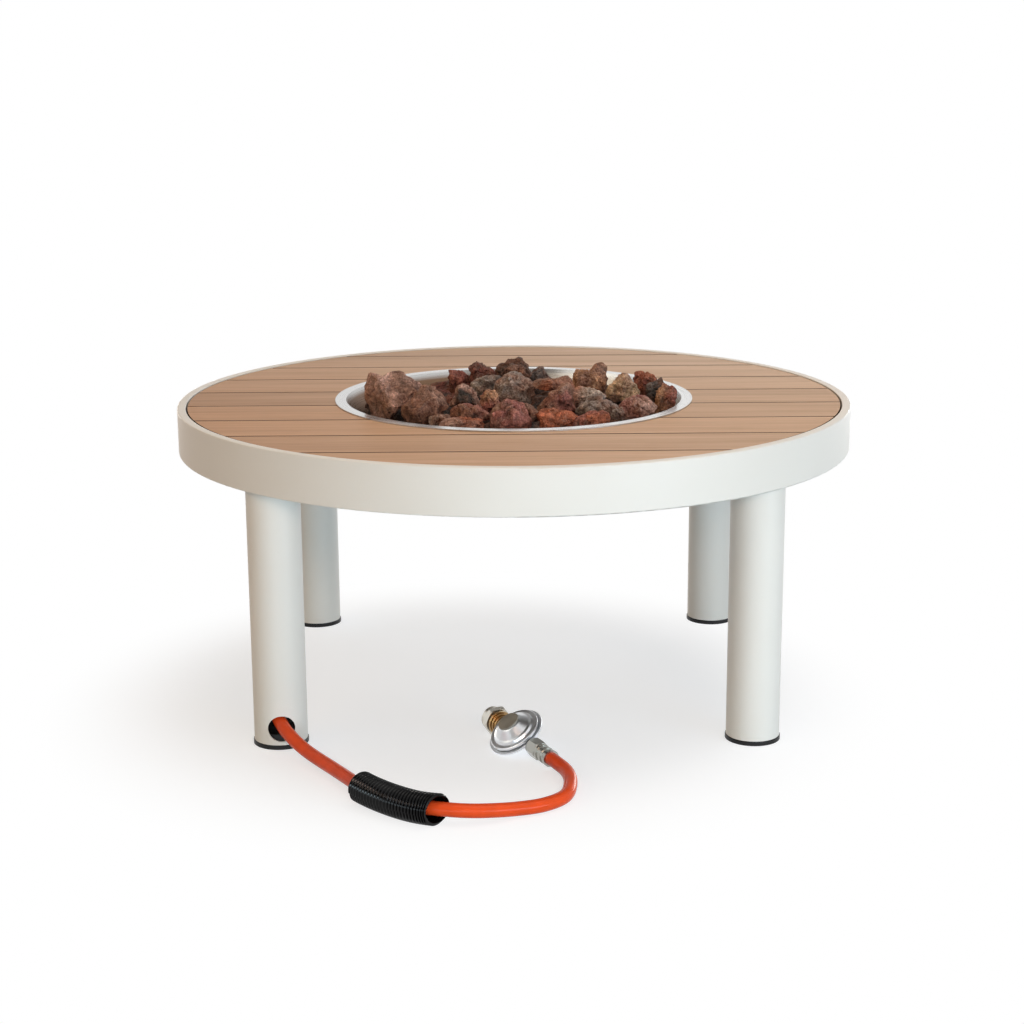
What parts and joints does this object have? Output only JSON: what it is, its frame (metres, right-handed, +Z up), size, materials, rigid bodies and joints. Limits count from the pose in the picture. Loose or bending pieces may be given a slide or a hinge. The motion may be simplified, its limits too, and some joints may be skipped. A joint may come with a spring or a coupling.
{
  "type": "round gas fire pit table",
  "caption": "Low round fire table: wood-slat top in a cream metal rim, steel bowl of lava rock with gas burner, tube legs, orange hose with ribbed sleeve and gas regulator.",
  "frame": {"origin": "on the floor under the middle of the round top", "axes": "+Z up, +X to the right and +Y away from the viewer of the picture; the boards run along X"},
  "size_m": [0.8, 0.8966, 0.3893],
  "materials": {
    "cream_coat": "fine satin powder coat",
    "hardwood": "oiled teak-like boards",
    "black_plastic": "moulded",
    "stainless": "brushed",
    "plated_steel": "zinc or nickel plated",
    "lava_rock": "porous volcanic rock",
    "brass": "turned brass",
    "copper": "drawn copper tube",
    "orange_hose": "glossy gas hose",
    "black_sleeve": "split corrugated sleeve",
    "cast_zinc": "smooth die cast",
    "grey_cap": "plain cap",
    "diaphragm": "moulded diaphragm"
  },
  "bodies": {
    "table": {"rim_ring": "cream_coat", "leg_front_left": "cream_coat", "leg_front_right": "cream_coat", "leg_back_left": "cream_coat", "leg_back_right": "cream_coat", "slat_ledge": "cream_coat", "bowl_collar": "cream_coat", "frame_spokes": "cream_coat", "leg_plates": "cream_coat", "slat_1": "hardwood", "slat_2": "hardwood", "slat_3": "hardwood", "slat_4_left": "hardwood", "slat_4_right": "hardwood", "slat_5_left": "hardwood", "slat_5_right": "hardwood", "slat_6_left": "hardwood", "slat_6_right": "hardwood", "slat_7": "hardwood", "slat_8": "hardwood", "slat_9": "hardwood", "foot_front_left": "black_plastic", "foot_front_right": "black_plastic", "foot_back_left": "black_plastic", "foot_back_right": "black_plastic", "injector_strap": "stainless", "valve_bracket": "stainless", "leg_plugs": "plated_steel", "leg_bolts": "plated_steel", "slat_screws": "plated_steel", "bracket_screws": "plated_steel", "valve_locknut": "plated_steel", "inlet_nut": "plated_steel", "inlet_ferrule": "plated_steel", "hose_nut": "plated_steel", "hose_ferrule": "plated_steel", "regulator_spring": "plated_steel", "valve_body": "brass", "tube_nuts": "brass", "injector_elbow": "brass", "gas_jet": "brass", "regulator_inlet": "brass", "gas_tube": "copper", "hose_in_leg": "orange_hose", "hose_free": "orange_hose", "hose_sleeve": "black_sleeve", "regulator_body": "cast_zinc", "regulator_cover": "cast_zinc", "regulator_cap": "grey_cap", "regulator_diaphragm": "diaphragm"},
    "fire_bowl": {"burner_bowl": "stainless", "burner_ring": "stainless", "mixing_tube": "stainless", "burner_locknut": "stainless", "lava_rocks_lower": "lava_rock", "lava_rocks_upper": "lava_rock"},
    "knob": {"control_knob": "black_plastic", "valve_spindle": "plated_steel"},
    "coupling": {"coupling_nut": "plated_steel"}
  },
  "joints": [
    {"name": "bowl_lift", "type": "slide", "parent": "table", "child": "fire_bowl", "axis": [0, 0, 1], "range_m": [0, 0.16]},
    {"name": "knob_turn", "type": "hinge", "parent": "table", "child": "knob", "pos_m": [-0.36, 0.04, 0.275], "axis": [-1, 0, 0], "range_deg": [0, 180]},
    {"name": "coupling_spin", "type": "hinge", "parent": "table", "child": "coupling", "pos_m": [-0.02348, -0.22179, 0.01796], "axis": [-0.4813, 0.8754, 0.0454], "continuous": true}
  ]
}
